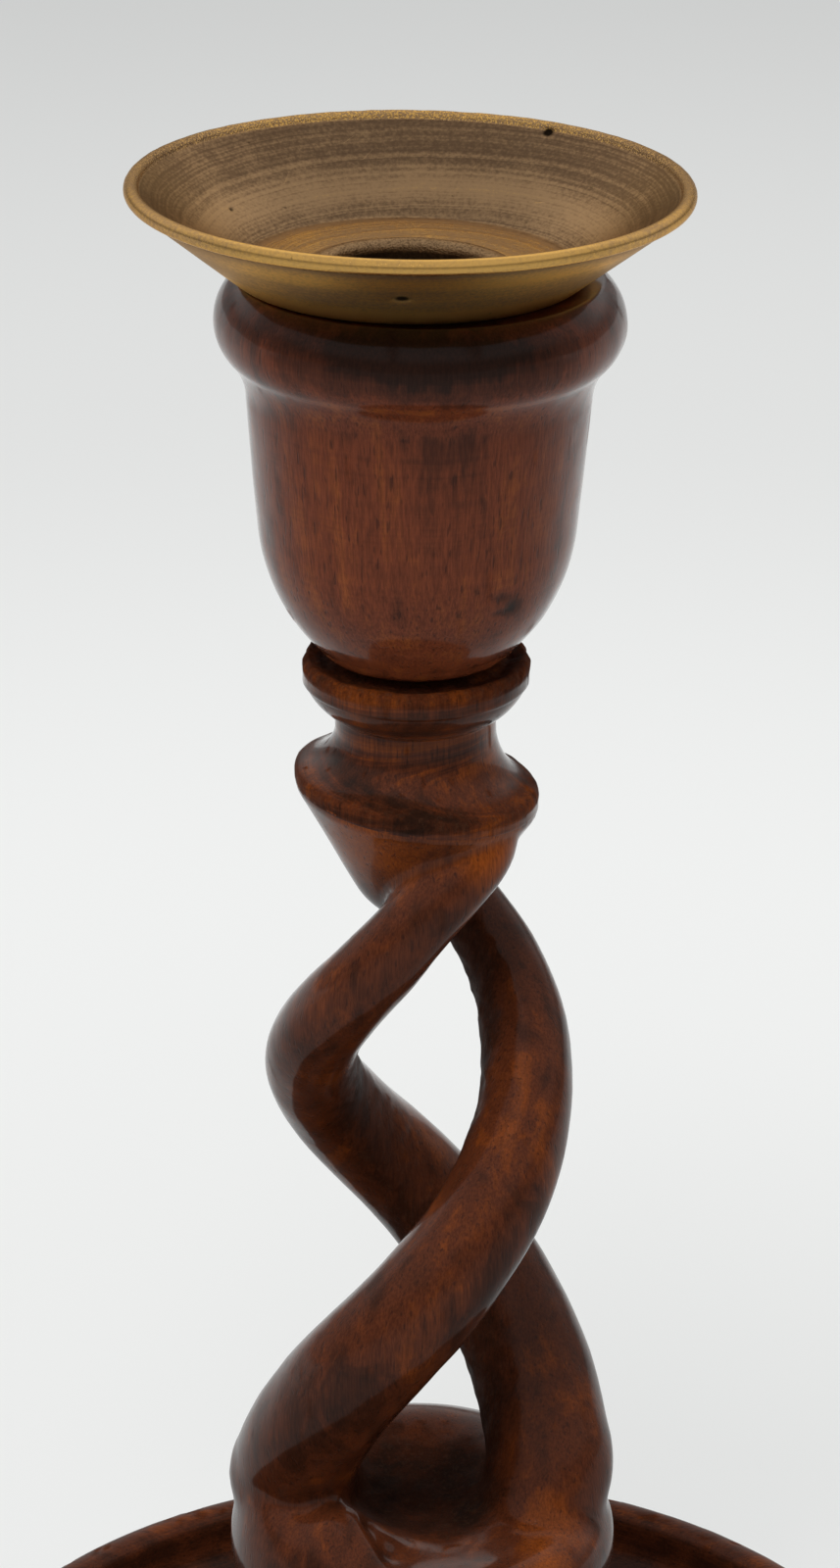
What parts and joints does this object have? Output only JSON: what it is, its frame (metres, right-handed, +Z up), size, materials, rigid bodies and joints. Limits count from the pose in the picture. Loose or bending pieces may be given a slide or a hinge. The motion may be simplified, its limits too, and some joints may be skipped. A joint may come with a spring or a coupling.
{
  "type": "twisted candle holder",
  "caption": "Turned wooden candlestick with an open double twist stem on a dished base, topped by a loose brass drip pan with a candle socket.",
  "frame": {"origin": "centre of the baize face that rests on the table", "axes": "+Z up the turning axis to the drip pan; the first strand meets the bulb rim near -X"},
  "size_m": [0.12, 0.12, 0.2074],
  "materials": {
    "pan_brass": "aged satin",
    "socket_brass": "aged satin",
    "cup_wood": "waxed, satin",
    "stem_wood": "waxed, satin",
    "base_wood": "waxed, satin",
    "screw_steel": "bare",
    "baize": "felted wool"
  },
  "bodies": {
    "stand": {"base_dish": "base_wood", "twist_stem": "stem_wood", "candle_cup": "cup_wood", "base_screw": "screw_steel", "baize_pad": "baize"},
    "sconce": {"drip_pan": "pan_brass", "candle_socket": "socket_brass"}
  },
  "joints": [
    {"name": "sconce_lift", "type": "slide", "parent": "stand", "child": "sconce", "axis": [0, 0, 1], "range_m": [0, 0.04]}
  ]
}
